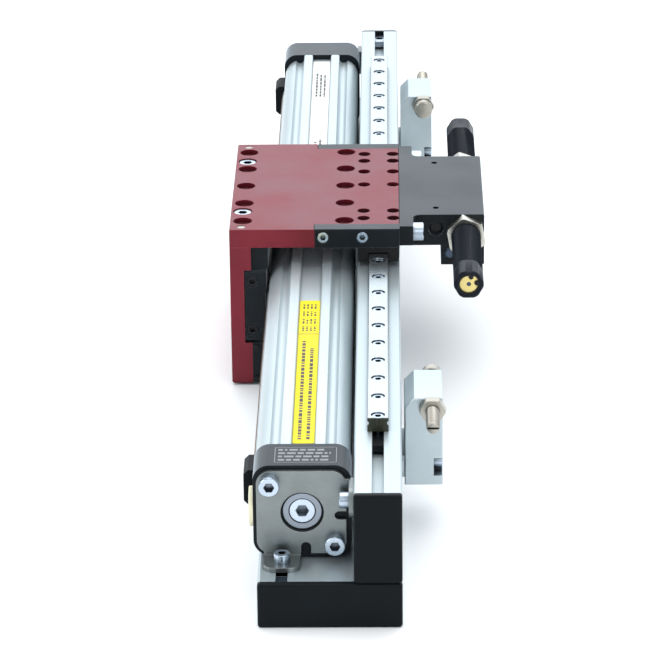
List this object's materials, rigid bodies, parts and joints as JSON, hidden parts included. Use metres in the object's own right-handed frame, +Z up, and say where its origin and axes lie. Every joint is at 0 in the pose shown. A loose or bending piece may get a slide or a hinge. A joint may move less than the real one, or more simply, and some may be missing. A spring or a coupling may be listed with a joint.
{
  "type": "rodless pneumatic linear drive with guide rail carriage",
  "caption": "Slotted rodless cylinder on a T-slot profile frame, with an angle carriage on a ball guide rail, opposed shock absorbers and adjustable end stops.",
  "frame": {"origin": "centre of the underside of the base profile, which the drive stands on", "axes": "+Y along the travel, away from the near end; +Z up; +X from the cylinder towards the stops"},
  "size_m": [0.1206, 0.622, 0.0792],
  "materials": {
    "black_anodised": "satin black anodised",
    "cap_black": "satin black anodised",
    "black_plastic": "matte",
    "natural_aluminium": "fine satin, clear anodised",
    "burgundy_anodised": "satin burgundy anodised",
    "rail_steel": "ground",
    "sheet_steel": "zinc plated sheet, dull",
    "zinc_steel": "bright zinc plated",
    "black_steel": "blackened",
    "bright_steel": "polished",
    "plain_steel": "turned, dull",
    "band_steel": "rolled strip, tempered",
    "shock_nitrided": "black nitrided, satin",
    "lug_steel": "machined, nickel plated",
    "piston_aluminium": "machined",
    "rubber_black": "matte",
    "brass": "turned",
    "cream_plastic": "matte",
    "label_yellow": "semi gloss foil"
  },
  "bodies": {
    "frame": {"base_profile": "natural_aluminium", "upright_profile": "natural_aluminium", "base_end_caps": "black_plastic", "upright_end_caps": "black_plastic", "profile_screws": "zinc_steel", "slot_nuts": "zinc_steel", "guide_rail": "rail_steel", "rail_nut_bar": "black_steel", "rail_screws": "zinc_steel", "cylinder_barrel": "natural_aluminium", "cylinder_cap_near": "cap_black", "cylinder_cap_far": "cap_black", "cap_tie_screws": "zinc_steel", "cap_orings": "rubber_black", "mounting_plate_near": "sheet_steel", "mounting_plate_far": "sheet_steel", "plate_screws": "zinc_steel", "foot_screws": "zinc_steel", "cover_bands": "band_steel", "band_clamps": "black_plastic", "band_clamp_screws": "black_steel", "port_plug": "zinc_steel", "dust_plug": "cream_plastic", "labels": "label_yellow", "stop_blocks": "natural_aluminium", "stop_screws": "plain_steel", "stop_nuts": "plain_steel", "stop_clamp_screws": "zinc_steel"},
    "lug": {"stop_lug": "lug_steel"},
    "rod_front": {"shock_rod_front": "bright_steel"},
    "rod_rear": {"shock_rod_rear": "bright_steel"},
    "carriage": {"block_end_caps": "black_plastic", "block_screws": "zinc_steel", "bracket_screws": "zinc_steel", "carriage_leg": "burgundy_anodised", "carriage_plate": "burgundy_anodised", "corner_bar": "black_anodised", "drive_end_plates": "black_anodised", "drive_mount": "black_anodised", "end_plates": "black_anodised", "end_screws": "zinc_steel", "flag_screws": "zinc_steel", "guide_balls": "bright_steel", "guide_blocks": "rail_steel", "leg_dowels": "bright_steel", "leg_screws": "zinc_steel", "leg_side_screws": "zinc_steel", "lug_guide_rods": "black_steel", "piston_heads": "piston_aluminium", "piston_seals": "rubber_black", "piston_yoke": "piston_aluminium", "rail_wipers": "rubber_black", "rod_set_screws": "black_steel", "shock_bodies": "shock_nitrided", "shock_bracket": "black_anodised", "shock_circlips": "black_steel", "shock_end_discs": "brass", "shock_nuts": "zinc_steel", "switch_flag": "black_anodised", "yoke_screws": "zinc_steel"}
  },
  "joints": [
    {"name": "carriage_slide", "type": "slide", "parent": "frame", "child": "carriage", "axis": [0, 1, 0], "range_m": [-0.1728, 0.1599]},
    {"name": "lug_slide", "type": "slide", "parent": "carriage", "child": "lug", "axis": [0, 1, 0], "range_m": [-0.006, 0.006], "stiffness_N_per_m": 500},
    {"name": "rod_front_slide", "type": "slide", "parent": "carriage", "child": "rod_front", "axis": [0, 1, 0], "range_m": [-0.006, 0.006]},
    {"name": "rod_rear_slide", "type": "slide", "parent": "carriage", "child": "rod_rear", "axis": [0, 1, 0], "range_m": [-0.006, 0.006]}
  ],
  "couplings": [
    {"joint": "rod_front_slide", "follows": "lug_slide", "ratio": 1},
    {"joint": "rod_rear_slide", "follows": "lug_slide", "ratio": 1}
  ]
}
